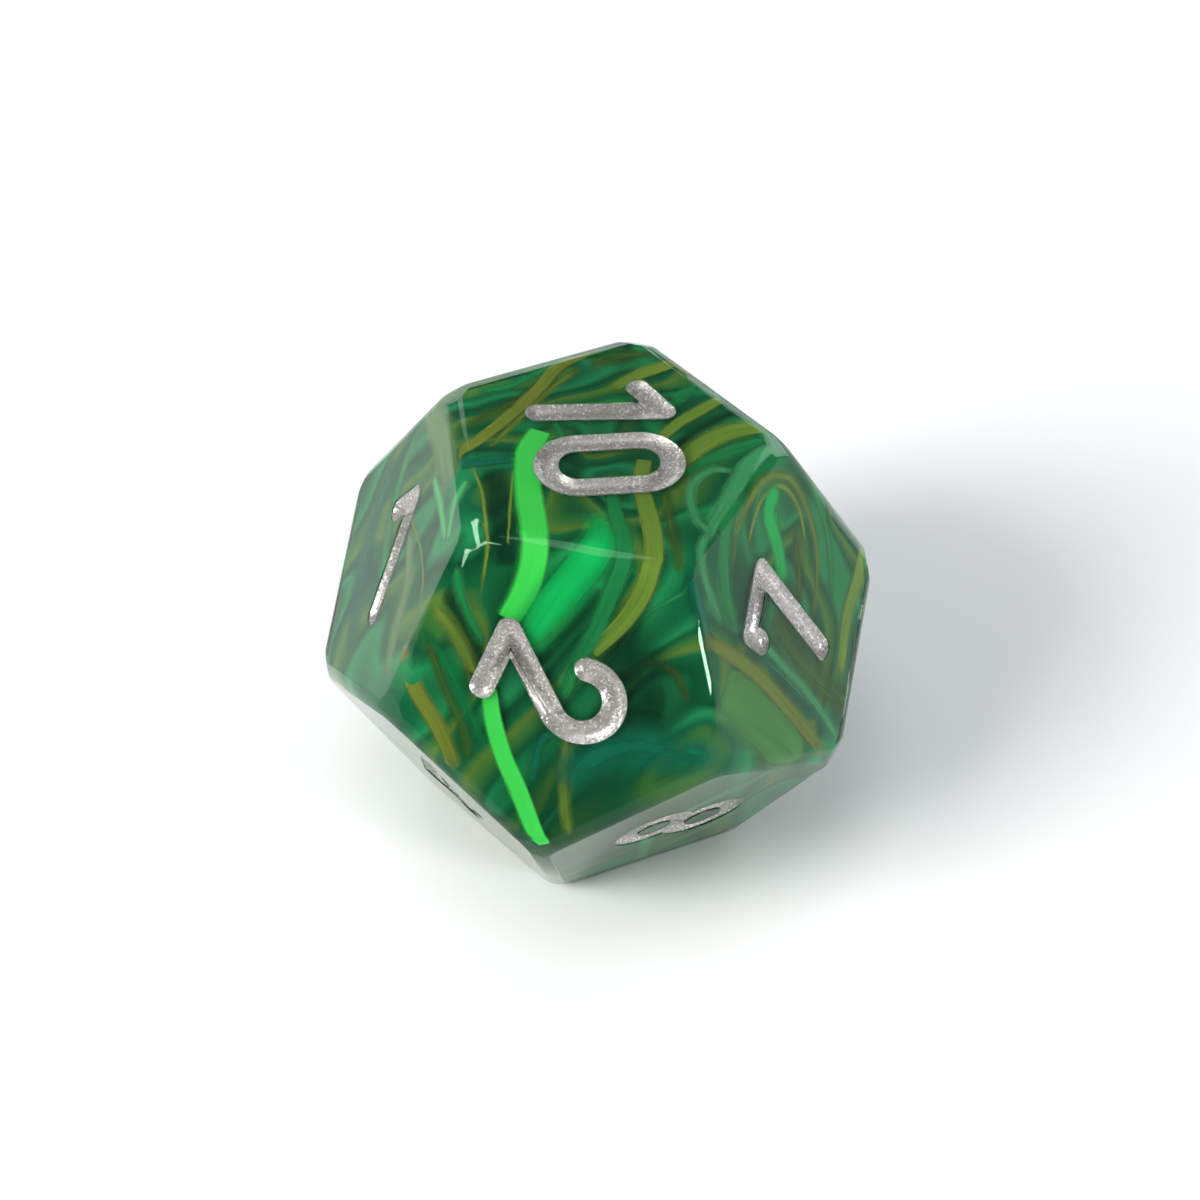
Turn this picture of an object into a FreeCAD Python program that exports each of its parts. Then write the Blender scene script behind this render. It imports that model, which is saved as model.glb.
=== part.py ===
"""A twelve-sided polyhedral die: clear resin cast round coloured streams, with paint-filled numerals.

Frame: +Z up, origin at the centre of the face the die rests on. The face marked 10 is on top and
the face marked 2 looks towards -Y.
"""
import FreeCAD, Part
import math
import os
from FreeCAD import Vector

# ---- driving dimensions, in millimetres ----
ACROSS_FLATS = 19.0        # from any face to the face opposite
EDGE_ROUND = 0.8           # radius that tumbling leaves on the thirty edges
CORNER_WEAR = 0.45         # how far it wears each sharp corner back, to a rounded cap

NUMERAL_HEIGHT = 5.1       # height of a numeral, measured between the middles of its strokes
NUMERAL_WIDTH = 2.65       # width of a one-digit numeral, measured the same way
ZERO_WIDTH = 2.55          # the zero of 10 is drawn a little narrower
ONE_FLAG = 1.45            # how far the flag of a 1 reaches to its left
ONE_FLAG_DROP = 0.85       # how far that flag comes down
ONE_LEAN = 0.3             # how far the foot of a 1 stands left of its top
SEVEN_SERIF = 0.9          # length of the short serif at the left end of a 7
SERIF_LEAN = 0.1           # how far that serif's foot stands out to the left
TWO_HOOK = 195             # degrees round its bowl at which the hook of a 2 starts
THREE_HOOK = 160           # the same for the upper bowl of a 3, and mirrored for its lower one
FIVE_SHOULDER = 135        # degrees round the bowl of a 5 at which its stem comes in
FIVE_TAIL = -155           # degrees round that bowl at which it ends
DIGIT_GAP = 0.6            # land left between the grooves of two digits
UNDERLINE_GAP = 0.55       # land left between a 6 or 9 and the bar under it
STROKE_WIDTH = 1.05        # width of a groove at the surface
GROOVE_DEPTH = 0.42        # depth of a groove
PAINT_RECESS = 0.08        # how far the paint lies below the face

STREAM_COVER = 0.1         # clear resin between a groove's floor and the first layer of streams
STREAM_THICKNESS = 0.16    # thickness of a coloured stream, measured inwards
STREAM_SPACING = 0.06      # clear resin between two layers of streams
STREAM_LAYERS = 3          # layers that the streams lie in, 0 being the outermost
CORE_SPACING = 0.08        # clear resin between the deepest stream and the clouded core
CORE_ROUND = 1.2           # radius of the core's edges

HALF_FLATS = ACROSS_FLATS / 2
STROKE_RADIUS = (STROKE_WIDTH ** 2 / 4 + GROOVE_DEPTH ** 2) / (2 * GROOVE_DEPTH)
CENTRE = Vector(0, 0, HALF_FLATS)
REACH = 3 * ACROSS_FLATS   # larger than the die in any direction

# ---- the twelve faces ----
RING_TILT = math.degrees(math.atan(0.5))   # tilt of the two rings of side faces, above or below level
TOUCHING = 1 / math.sqrt(5)                # cosine of the angle between the normals of touching faces

# numeral: (turn about Z, tilt above level, the two faces that meet it at the corner the numeral points to)
FACES = {
    10: (0, 90, (7, 9)),
    2: (-90, RING_TILT, (7, 8)),
    7: (-18, RING_TILT, (10, 2)),
    9: (54, RING_TILT, (12, 11)),
    5: (126, RING_TILT, (10, 1)),
    1: (198, RING_TILT, (10, 5)),
    8: (-54, -RING_TILT, (4, 2)),
    12: (18, -RING_TILT, (9, 11)),
    11: (90, -RING_TILT, (6, 3)),
    6: (162, -RING_TILT, (5, 11)),
    4: (234, -RING_TILT, (2, 1)),
    3: (0, -90, (4, 6)),
}


def normal(numeral):
    """Outward unit normal of the face that carries a numeral."""
    turn, tilt, _ = FACES[numeral]
    turn, tilt = math.radians(turn), math.radians(tilt)
    return Vector(math.cos(tilt) * math.cos(turn), math.cos(tilt) * math.sin(turn), math.sin(tilt))


def corner_direction(one, two, three):
    """Direction from the die's centre to the corner where three faces meet."""
    return (normal(one) + normal(two) + normal(three)).normalize()


def frame_at(outward, upward, distance):
    """Placement whose Z points outward and whose Y points as nearly upward as it can."""
    across = upward.cross(outward)
    along = outward.cross(across)
    rotation = FreeCAD.Rotation(across, along, outward, "ZYX")
    return FreeCAD.Placement(CENTRE + outward * distance, rotation)


def face_frame(numeral):
    """Placement on a face's centre, with Y towards the corner that its numeral points to."""
    outward = normal(numeral)
    return frame_at(outward, corner_direction(numeral, *FACES[numeral][2]), HALF_FLATS)


def sharp_corner(inradius):
    """Distance from the centre of a sharp dodecahedron to its corners."""
    return inradius / corner_direction(10, 2, 7).dot(normal(10))


def dodecahedron(inradius):
    """Sharp regular dodecahedron about the die's centre."""
    sides = []
    corner_distance = sharp_corner(inradius)
    for numeral in FACES:
        outward = normal(numeral)
        frame = face_frame(numeral)
        neighbours = [other for other in FACES if abs(outward.dot(normal(other)) - TOUCHING) < 0.01]
        inverse = frame.inverse()

        def turn_of(other):
            point = inverse.multVec(CENTRE + normal(other) * inradius)
            return math.atan2(point.y, point.x)

        neighbours.sort(key=turn_of)
        corners = []
        for index, other in enumerate(neighbours):
            direction = corner_direction(numeral, neighbours[index - 1], other)
            corners.append(CENTRE + direction * corner_distance)
        sides.append(Part.Face(Part.makePolygon(corners + corners[:1])))
    return Part.Solid(Part.Shell(sides))


# ---- numerals: each digit is a list of strokes about its own centre ----
def line(x_start, y_start, x_end, y_end):
    """Straight stroke."""
    return ("line", Vector(x_start, y_start, 0), Vector(x_end, y_end, 0))


def arc(x_centre, y_centre, radius, start, end):
    """Round stroke, running counter-clockwise from one angle to another, in degrees."""
    return ("arc", Vector(x_centre, y_centre, 0), radius, start, end)


def tangent_angle(x_centre, y_centre, radius, x_point, y_point, side):
    """Angle at which a line from a point touches a circle, on its left (1) or right (-1)."""
    x_offset, y_offset = x_point - x_centre, y_point - y_centre
    spread = math.degrees(math.acos(radius / math.hypot(x_offset, y_offset)))
    return math.degrees(math.atan2(y_offset, x_offset)) + side * spread


def around(x_centre, y_centre, radius, angle):
    """Point on a circle."""
    angle = math.radians(angle)
    return x_centre + radius * math.cos(angle), y_centre + radius * math.sin(angle)


TOP = NUMERAL_HEIGHT / 2
SIDE = NUMERAL_WIDTH / 2


def one():
    """A leaning stem with a flag."""
    return [line(ONE_LEAN / 2, TOP, -ONE_LEAN / 2, -TOP),
            line(ONE_LEAN / 2, TOP, ONE_LEAN / 2 - ONE_FLAG, TOP - ONE_FLAG_DROP)]


def two():
    """A bowl that runs tangent into a straight neck, and a foot."""
    middle = TOP - SIDE
    end = tangent_angle(0, middle, SIDE, -SIDE, -TOP, 1)
    return [arc(0, middle, SIDE, end, TWO_HOOK),
            line(*around(0, middle, SIDE, end), -SIDE, -TOP),
            line(-SIDE, -TOP, SIDE, -TOP)]


def three():
    """A small bowl over a larger one."""
    small = (NUMERAL_HEIGHT - 2 * SIDE) / 2
    return [arc(0, TOP - small, small, -90, THREE_HOOK),
            arc(0, SIDE - TOP, SIDE, -THREE_HOOK, 90)]


def four():
    """A slope, a bar and a stem."""
    bar = -TOP + NUMERAL_WIDTH / 2
    return [line(SIDE / 3, TOP, -SIDE, bar),
            line(-SIDE, bar, SIDE, bar),
            line(SIDE / 3, TOP, SIDE / 3, -TOP)]


def five():
    """A bar, a short stem and an open bowl."""
    middle = SIDE - TOP
    shoulder = around(0, middle, SIDE, FIVE_SHOULDER)
    return [line(SIDE, TOP, shoulder[0], TOP),
            line(shoulder[0], TOP, *shoulder),
            arc(0, middle, SIDE, FIVE_TAIL, FIVE_SHOULDER)]


def six():
    """A round bowl with a straight neck that touches it."""
    middle = SIDE - TOP
    start = tangent_angle(0, middle, SIDE, SIDE / 2, TOP, 1)
    return [arc(0, middle, SIDE, start, start + 360),
            line(*around(0, middle, SIDE, start), SIDE / 2, TOP)]


def seven():
    """A serif, a bar and a slope."""
    return [line(-SIDE - SERIF_LEAN, TOP - SEVEN_SERIF, -SIDE, TOP),
            line(-SIDE, TOP, SIDE, TOP),
            line(SIDE, TOP, -SIDE / 3, -TOP)]


def eight():
    """Two touching rings."""
    small = (NUMERAL_HEIGHT - 2 * SIDE) / 2
    return [arc(0, TOP - small, small, 0, 360),
            arc(0, SIDE - TOP, SIDE, 180, 540)]


def nine():
    """A 6 turned over."""
    middle = TOP - SIDE
    start = tangent_angle(0, middle, SIDE, -SIDE / 2, -TOP, 1)
    return [arc(0, middle, SIDE, start, start + 360),
            line(*around(0, middle, SIDE, start), -SIDE / 2, -TOP)]


def zero():
    """Two half rings joined by straight sides."""
    radius = ZERO_WIDTH / 2
    return [arc(0, TOP - radius, radius, 0, 180),
            arc(0, radius - TOP, radius, 180, 360),
            line(-radius, radius - TOP, -radius, TOP - radius),
            line(radius, radius - TOP, radius, TOP - radius)]


def underline():
    """The bar that tells a 6 from a 9."""
    level = -TOP - STROKE_WIDTH - UNDERLINE_GAP
    return [line(-SIDE, level, SIDE, level)]


def pair_offsets(left_reach, right_reach):
    """Places of two digits, so that the pair is centred and DIGIT_GAP apart."""
    apart = left_reach + STROKE_WIDTH + DIGIT_GAP + right_reach
    return -apart / 2, apart / 2


TEN_ONE, TEN_ZERO = pair_offsets(ONE_LEAN / 2, ZERO_WIDTH / 2)
ELEVEN_LEFT, ELEVEN_RIGHT = pair_offsets(ONE_LEAN / 2, ONE_FLAG)
TWELVE_ONE, TWELVE_TWO = pair_offsets(ONE_LEAN / 2, SIDE)

# faces engraved a little off their middle: how far across and how far up
OFF_MIDDLE = {10: (-0.7, 0.1), 7: (0.1, -0.5), 2: (0, -0.2)}

# name of the paint filling: (face, digit, sideways place on the face)
DIGITS = {
    "numeral_1_paint": (1, one, 0),
    "numeral_2_paint": (2, two, 0),
    "numeral_3_paint": (3, three, 0),
    "numeral_4_paint": (4, four, 0),
    "numeral_5_paint": (5, five, 0),
    "numeral_6_paint": (6, six, 0),
    "numeral_6_underline_paint": (6, underline, 0),
    "numeral_7_paint": (7, seven, 0),
    "numeral_8_paint": (8, eight, 0),
    "numeral_9_paint": (9, nine, 0),
    "numeral_9_underline_paint": (9, underline, 0),
    "numeral_10_one_paint": (10, one, TEN_ONE),
    "numeral_10_zero_paint": (10, zero, TEN_ZERO),
    "numeral_11_left_one_paint": (11, one, ELEVEN_LEFT),
    "numeral_11_right_one_paint": (11, one, ELEVEN_RIGHT),
    "numeral_12_one_paint": (12, one, TWELVE_ONE),
    "numeral_12_two_paint": (12, two, TWELVE_TWO),
}


def stroke_tube(stroke):
    """The round-nosed cutter's sweep along one stroke, and each end with the way it points there."""
    if stroke[0] == "line":
        _, start, end = stroke
        run = end - start
        tube = Part.makeCylinder(STROKE_RADIUS, run.Length, start, run)
        return tube, [(start, -run.normalize()), (end, run.normalize())]
    _, centre, radius, first, last = stroke
    ring = Part.makeTorus(radius, STROKE_RADIUS, Vector(0, 0, 0), Vector(0, 0, 1), 0, 360, last - first)
    ring.rotate(Vector(0, 0, 0), Vector(0, 0, 1), first)
    ring.translate(centre)
    ends = []
    for angle, way in ((first, -90), (last, 90)):
        place = Vector(*around(centre.x, centre.y, radius, angle), 0)
        ends.append((place, Vector(*around(0, 0, 1, angle + way), 0)))
    return ring, ends


def runs_on(end, ends):
    """Whether another stroke carries smoothly on from this end."""
    place, way = end
    return any(place.distanceToPoint(other) < 0.01 and way.dot(other_way) < -0.999 for other, other_way in ends)


def cutter_sweep(numeral, digit, sideways):
    """What the engraving of one digit removes, the round nose of the cutter reaching GROOVE_DEPTH in."""
    tubes, ends = [], []
    for stroke in digit():
        tube, stroke_ends = stroke_tube(stroke)
        tubes.append(tube)
        ends += stroke_ends
    noses = []
    for end in ends:
        place = end[0]
        if not runs_on(end, ends) and all(place.distanceToPoint(nose) > 0.01 for nose in noses):
            noses.append(place)
    sweep = tubes[0]
    for solid in tubes[1:] + [Part.makeSphere(STROKE_RADIUS, nose) for nose in noses]:
        sweep = sweep.fuse(solid)
    across, up = OFF_MIDDLE.get(numeral, (0, 0))
    sweep.translate(Vector(sideways + across, up, STROKE_RADIUS - GROOVE_DEPTH))
    sweep.Placement = face_frame(numeral).multiply(sweep.Placement)
    return sweep


def paint_filling(numeral, sweep):
    """The paint dried in one digit's groove, up to a little below the face."""
    below = Part.makeBox(REACH, REACH, GROOVE_DEPTH, Vector(-REACH / 2, -REACH / 2, -GROOVE_DEPTH - PAINT_RECESS))
    below.Placement = face_frame(numeral).multiply(below.Placement)
    return sweep.common(below)


# ---- coloured streams cast into the clear resin ----
# A route is drawn on a plane that faces one face, or the edge between two, in shares of HALF_FLATS,
# because the flow fills the mould. The width, in millimetres, is the stream's own.
# name: (faces, layer, width, route)
STREAMS = {
    "bright_green_stream_upper": ((10, 2), 0, 1.2, [(-0.3, 0.6), (-0.31, 0.4), (-0.18, 0.06), (-0.24, -0.2)]),
    "bright_green_stream_lower": ((2,), 0, 0.95, [(0.15, -0.27), (0.37, -0.13), (0.56, 0.08), (0.73, 0.23)]),
    "emerald_stream_front": ((10, 2), 1, 2.0, [(-0.02, 0.19), (0.08, 0.02), (0.01, -0.18), (-0.22, -0.3)]),
    "olive_stream_front_top": ((10, 2), 2, 0.75, [(0.16, 0.5), (0.26, 0.24), (0.27, -0.03), (0.14, -0.26)]),
    "mint_thread_front": ((2,), 0, 0.3, [(-0.5, 0.04), (-0.3, 0.02), (0.02, -0.01), (0.35, 0.09)]),
    "green_crescent_front": ((2,), 1, 0.9, [(0.4, -0.27), (0.29, -0.43), (0.07, -0.53)]),
    "gold_thread_front": ((2,), 0, 0.3, [(0.5, -0.3), (0.36, -0.48), (0.21, -0.58)]),
    "olive_stream_front": ((2,), 2, 0.6, [(0.12, -0.42), (0.08, -0.51), (0.01, -0.61)]),
    "teal_veil_front": ((2,), 2, 1.6, [(-0.2, 0.29), (0.04, 0.35), (0.33, 0.26), (0.5, 0.09)]),
    "mustard_stream_top": ((10,), 1, 0.7, [(-0.66, -0.06), (-0.51, -0.21), (-0.34, -0.34), (-0.18, -0.47)]),
    "gold_stream_top": ((10,), 0, 0.35, [(-0.6, 0.34), (-0.55, 0.25), (-0.48, 0.07)]),
    "lime_stream_top": ((10,), 0, 0.6, [(-0.33, 0.54), (-0.19, 0.43), (-0.1, 0.27)]),
    "mint_stream_top": ((10,), 1, 0.5, [(-0.06, 0.7), (0.14, 0.56), (0.36, 0.45)]),
    "olive_stream_top": ((10,), 2, 0.9, [(-0.27, 0.64), (-0.14, 0.55), (0.0, 0.34)]),
    "gold_thread_top": ((10,), 0, 0.25, [(0.0, -0.56), (0.19, -0.57), (0.36, -0.55)]),
    "lime_arch_right": ((7,), 0, 0.45, [(0.19, 0.27), (0.41, 0.27), (0.56, 0.1), (0.4, -0.16), (0.1, -0.28)]),
    "emerald_spot_right": ((7,), 1, 1.3, [(0.13, -0.13), (0.28, 0.01), (0.46, 0.13)]),
    "gold_stream_right": ((7,), 1, 0.8, [(-0.24, 0.21), (-0.32, -0.03), (-0.37, -0.26), (-0.43, -0.5)]),
    "pale_green_stream_right": ((7,), 0, 0.7, [(-0.1, 0.07), (-0.19, -0.12), (-0.26, -0.34), (-0.3, -0.52)]),
    "lime_stream_right": ((7,), 0, 0.8, [(-0.08, -0.49), (0.12, -0.54), (0.32, -0.57), (0.46, -0.58)]),
    "mint_arc_right": ((7,), 2, 0.6, [(0.05, 0.48), (0.23, 0.37), (0.42, 0.35)]),
    "olive_arc_left": ((1,), 0, 0.4, [(0.02, 0.17), (0.19, 0.06), (0.3, -0.11), (0.38, -0.4)]),
    "mint_tongue_left": ((1,), 1, 0.6, [(0.04, 0.37), (0.15, 0.33), (0.25, 0.23)]),
    "teal_stream_left": ((1,), 2, 1.6, [(-0.58, 0.15), (-0.55, -0.08), (-0.44, -0.34), (-0.33, -0.5)]),
    "lime_stream_back_right": ((9,), 0, 0.7, [(-0.5, -0.1), (-0.1, 0.25), (0.35, 0.3), (0.5, 0.05)]),
    "emerald_stream_back_right": ((9,), 1, 1.4, [(-0.3, -0.45), (0.1, -0.2), (0.4, -0.35)]),
    "gold_stream_back_left": ((5,), 0, 0.6, [(-0.45, 0.3), (-0.1, 0.0), (0.0, -0.5)]),
    "mint_stream_back_left": ((5,), 1, 1.0, [(0.15, 0.5), (0.4, 0.1), (0.3, -0.35)]),
    "bright_green_stream_back": ((11,), 0, 1.0, [(-0.5, -0.2), (-0.1, 0.1), (0.3, 0.05), (0.5, 0.25)]),
    "teal_stream_back": ((11,), 2, 1.6, [(-0.35, 0.4), (0.1, 0.4), (0.4, -0.1)]),
    "olive_stream_side_right": ((12,), 0, 0.8, [(-0.5, 0.2), (0.0, 0.15), (0.35, -0.3)]),
    "emerald_stream_side_left": ((6,), 0, 1.1, [(-0.4, -0.4), (0.0, -0.05), (0.45, 0.1)]),
    "lime_stream_under_left": ((4,), 0, 0.7, [(-0.45, 0.25), (0.0, 0.3), (0.4, -0.2)]),
    "mint_stream_under_right": ((8,), 1, 1.1, [(-0.5, -0.1), (0.0, 0.1), (0.45, -0.15)]),
    "gold_stream_bottom": ((3,), 0, 0.6, [(-0.5, 0.1), (-0.1, 0.3), (0.4, 0.25)]),
    "emerald_stream_bottom": ((3,), 1, 1.3, [(-0.35, -0.35), (0.05, -0.15), (0.45, -0.3)]),
}
OUTLINE_SPANS = 8          # spans into which a stream's side is divided


def layer_depth(layer):
    """Depth of a layer's outer side below the faces."""
    first = GROOVE_DEPTH + STREAM_COVER
    return first + layer * (STREAM_THICKNESS + STREAM_SPACING)


def layer_shell(layer):
    """The thin twelve-sided shell that one layer of streams lies in."""
    outer = dodecahedron(HALF_FLATS - layer_depth(layer))
    inner = dodecahedron(HALF_FLATS - layer_depth(layer) - STREAM_THICKNESS)
    return outer.cut(inner)


def stream_frame(faces):
    """Placement at the die's centre that looks out through one face, or through the edge of two."""
    if len(faces) == 1:
        frame = face_frame(faces[0])
        return FreeCAD.Placement(CENTRE, frame.Rotation)
    first, second = normal(faces[0]), normal(faces[1])
    return frame_at((first + second).normalize(), first, 0)


def stream_outline(width, route):
    """Leaf-shaped outline round a route: full width in the middle, drawn out to a point at each end."""
    middle = Part.BSplineCurve()
    middle.interpolate([Vector(x * HALF_FLATS, y * HALF_FLATS, 0) for x, y in route])
    start, end = middle.value(middle.FirstParameter), middle.value(middle.LastParameter)
    left, right = [start], [start]
    for step in range(1, OUTLINE_SPANS):
        share = step / OUTLINE_SPANS
        parameter = middle.FirstParameter + share * (middle.LastParameter - middle.FirstParameter)
        along = middle.tangent(parameter)[0]
        reach = width / 2 * (1 - (2 * share - 1) ** 4)
        sideways = Vector(-along.y, along.x, 0) * reach
        left.append(middle.value(parameter) + sideways)
        right.append(middle.value(parameter) - sideways)
    sides = []
    for points in (left + [end], right + [end]):
        side = Part.BSplineCurve()
        side.interpolate(points)
        sides.append(side.toShape())
    return Part.Face(Part.Wire(sides))


def stream(faces, layer, width, route, shells):
    """One coloured stream: its outline carried outward through its layer."""
    curtain = stream_outline(width, route).extrude(Vector(0, 0, REACH))
    curtain.Placement = stream_frame(faces).multiply(curtain.Placement)
    return curtain.common(shells[layer])


def core():
    """The clouded middle, where the colours have run together."""
    block = dodecahedron(HALF_FLATS - layer_depth(STREAM_LAYERS - 1) - STREAM_THICKNESS - CORE_SPACING)
    return block.makeFillet(CORE_ROUND, block.Edges)


def body(sweeps, inclusions):
    """The clear casting, tumbled, engraved, and open where the coloured resin fills it."""
    block = dodecahedron(HALF_FLATS)
    block = block.makeFillet(EDGE_ROUND, block.Edges)
    block = block.common(Part.makeSphere(sharp_corner(HALF_FLATS) - CORNER_WEAR, CENTRE))
    for sweep in sweeps:
        block = block.cut(sweep)
    return block.cut(inclusions)


def solids_of(shape):
    """A shape's solids, as one solid where there is only one."""
    return shape.Solids[0] if len(shape.Solids) == 1 else Part.Compound(shape.Solids)


def main():
    pieces = {}
    sweeps = []
    for name, (numeral, digit, sideways) in DIGITS.items():
        sweep = cutter_sweep(numeral, digit, sideways)
        sweeps.append(sweep)
        pieces[name] = paint_filling(numeral, sweep)
    shells = [layer_shell(layer) for layer in range(STREAM_LAYERS)]
    inclusions = {"clouded_core": core()}
    for name, (faces, layer, width, route) in STREAMS.items():
        inclusions[name] = stream(faces, layer, width, route, shells)
    pieces.update(inclusions)
    pieces["resin_body"] = body(sweeps, list(inclusions.values()))

    os.makedirs("parts", exist_ok=True)
    for name, shape in pieces.items():
        piece = solids_of(shape)
        piece.exportStep(f"parts/{name}.step")
        print(f"{name}: solids {len(shape.Solids)}, valid {piece.isValid()}, volume {shape.Volume:.3f}")


main()
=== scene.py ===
# %% [markdown]
# # A clear green die with coloured streams inside
#
# A die like this is cast from clear polyester resin. Before the resin sets, small amounts of coloured
# resin are poured into it, and they are drawn out into ribbons and veils. The blank is then tumbled
# until its edges are round and its faces shine, the numerals are engraved, and silver paint is wiped
# into the grooves. This lesson builds it in the same order: clear casting, coloured streams, clouded
# middle, numerals.

# %% Load the frame
import math

import bpy
from mathutils import Matrix, Vector
from mathutils.bvhtree import BVHTree


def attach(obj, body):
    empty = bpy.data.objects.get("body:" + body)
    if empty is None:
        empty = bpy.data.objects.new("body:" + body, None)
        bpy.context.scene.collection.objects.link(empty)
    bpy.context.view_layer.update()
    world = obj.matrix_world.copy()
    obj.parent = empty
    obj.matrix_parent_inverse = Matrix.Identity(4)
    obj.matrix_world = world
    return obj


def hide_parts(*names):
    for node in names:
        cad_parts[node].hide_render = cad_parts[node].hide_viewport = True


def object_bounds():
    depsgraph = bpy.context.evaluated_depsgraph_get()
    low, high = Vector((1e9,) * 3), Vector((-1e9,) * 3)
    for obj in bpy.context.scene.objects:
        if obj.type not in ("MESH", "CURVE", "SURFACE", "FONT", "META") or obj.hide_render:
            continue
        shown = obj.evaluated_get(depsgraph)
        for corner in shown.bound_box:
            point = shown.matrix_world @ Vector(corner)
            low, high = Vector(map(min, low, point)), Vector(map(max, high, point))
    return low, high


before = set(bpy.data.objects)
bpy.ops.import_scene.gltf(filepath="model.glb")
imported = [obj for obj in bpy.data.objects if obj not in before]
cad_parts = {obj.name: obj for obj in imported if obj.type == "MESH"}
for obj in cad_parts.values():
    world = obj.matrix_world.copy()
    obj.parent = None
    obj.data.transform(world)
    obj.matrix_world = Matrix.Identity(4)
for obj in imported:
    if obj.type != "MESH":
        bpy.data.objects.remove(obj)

cad_low, cad_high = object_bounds()
MM = 0.001
HALF_FLATS = (cad_high[2] - cad_low[2]) / 2
CENTRE = Vector((0, 0, cad_low[2] + HALF_FLATS))
print("across flats, mm:", round(2 * HALF_FLATS / MM, 2))

# %% [markdown]
# ## The twelve faces
#
# Everything on a die is placed by its faces, so the first helper gives each face a small frame of its
# own: its middle, a direction across, a direction up, towards the corner that the numeral's top points
# to, and its outward normal. A point on any face is then three millimetre values: across, up and depth.

# %% Face frames
RING_TILT = math.atan(0.5)

# numeral: (turn about Z in degrees, tilt: 1 up, -1 down, 2 top, -2 bottom, faces at the numeral's top corner)
FACES = {
    10: (0, 2, (7, 9)),
    2: (-90, 1, (7, 8)),
    7: (-18, 1, (10, 2)),
    9: (54, 1, (12, 11)),
    5: (126, 1, (10, 1)),
    1: (198, 1, (10, 5)),
    8: (-54, -1, (4, 2)),
    12: (18, -1, (9, 11)),
    11: (90, -1, (6, 3)),
    6: (162, -1, (5, 11)),
    4: (234, -1, (2, 1)),
    3: (0, -2, (4, 6)),
}


def normal(numeral):
    """Outward normal of the face that carries a numeral."""
    turn, ring, _ = FACES[numeral]
    if abs(ring) == 2:
        return Vector((0, 0, ring / 2))
    turn = math.radians(turn)
    level = math.cos(RING_TILT)
    return Vector((level * math.cos(turn), level * math.sin(turn), ring * math.sin(RING_TILT)))


def face_axes(numeral):
    """Directions across, up and out of a face."""
    out = normal(numeral)
    corner = out + normal(FACES[numeral][2][0]) + normal(FACES[numeral][2][1])
    across = corner.cross(out).normalized()
    return across, out.cross(across), out


def on_face(numeral, x, y, depth=0.0):
    """Point at x, y on a face, depth below it, all in millimetres."""
    across, up, out = face_axes(numeral)
    return CENTRE + out * (HALF_FLATS - depth * MM) + across * x * MM + up * y * MM


# %% [markdown]
# ## Camera, table and light
#
# A long lens from three-quarters above, a white paper sweep and six soft lights. Clear resin shows its
# surroundings, so they are kept plain. Each light has its own task: the front left one lights the faces,
# the front right one draws the line down the edge between 2 and 7, the top panel the faint one between 10
# and 2, the strip the short mark at their left corner, and the two behind brighten the table.

# %% Colour helper, camera
def srgb(code):
    """A colour given as sRGB hex, as Blender's linear values."""
    values = [int(code[i:i + 2], 16) / 255 for i in (1, 3, 5)]
    return (*[v / 12.92 if v <= 0.04045 else ((v + 0.055) / 1.055) ** 2.4 for v in values], 1)


VIEW_TURN, VIEW_LIFT, VIEW_ROLL = math.radians(9.4), math.radians(45.3), math.radians(2.7)
VIEW_DISTANCE = 142.6 * MM
LENS = 102

towards_camera = Vector((math.sin(VIEW_TURN) * math.cos(VIEW_LIFT),
                         -math.cos(VIEW_TURN) * math.cos(VIEW_LIFT), math.sin(VIEW_LIFT)))
right = Vector((math.cos(VIEW_TURN), math.sin(VIEW_TURN), 0))
above = towards_camera.cross(right)
aim = CENTRE + right * 0.1 * MM + above * 0.63 * MM

camera = bpy.data.objects.new("camera", bpy.data.cameras.new("camera"))
bpy.context.scene.collection.objects.link(camera)
camera.data.lens = LENS
camera.data.clip_start = 0.005
place = aim + towards_camera * VIEW_DISTANCE
tilt = Matrix((right, above, towards_camera)).transposed()
roll = Matrix.Rotation(VIEW_ROLL, 3, "Z")
camera.matrix_world = Matrix.Translation(place) @ (tilt @ roll).to_4x4()
bpy.context.scene.camera = camera
print("camera at, mm:", [round(v / MM, 1) for v in place])

# %% Node helper
def add_node(tree, kind, links=(), **settings):
    """Add a node, set its named settings and sockets, and link its inputs: (input, node, output)."""
    node = tree.nodes.new(kind)
    for key, value in settings.items():
        if hasattr(node, key):
            setattr(node, key, value)
        else:
            node.inputs[key.replace("_", " ")].default_value = value
    for socket, other, output in links:
        tree.links.new(other.outputs[output], node.inputs[socket])
    return node


# %% Table and lights
def set_ramp(ramp, stops):
    """Fill a colour ramp from (position, hex) stops, with smooth steps."""
    elements = ramp.color_ramp.elements
    while len(elements) < len(stops):
        elements.new(0.5)
    for element, (place_now, code) in zip(elements, stops):
        element.position = place_now
    for element, (place_now, code) in zip(elements, stops):
        element.color = srgb(code)


def new_material(name):
    """An empty node material with its Principled shader."""
    material = bpy.data.materials.new(name)
    material.use_nodes = True
    return material, material.node_tree, material.node_tree.nodes["Principled BSDF"]


TABLE_SIZE = 3
PAPER_ROUGHNESS, PAPER_SHINE = 0.9, 0.1


def make_table():
    """White paper, matt as uncoated stock is: it gives a soft shadow and no mirror image."""
    bpy.ops.mesh.primitive_plane_add(size=TABLE_SIZE)
    table = bpy.context.object
    table.name = "table"
    paper, tree, shader = new_material("matt_white_paper")
    shader.inputs["Base Color"].default_value = srgb("#F2F4F5")
    shader.inputs["Roughness"].default_value = PAPER_ROUGHNESS
    shader.inputs["Specular IOR Level"].default_value = PAPER_SHINE
    table.data.materials.append(paper)


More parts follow.
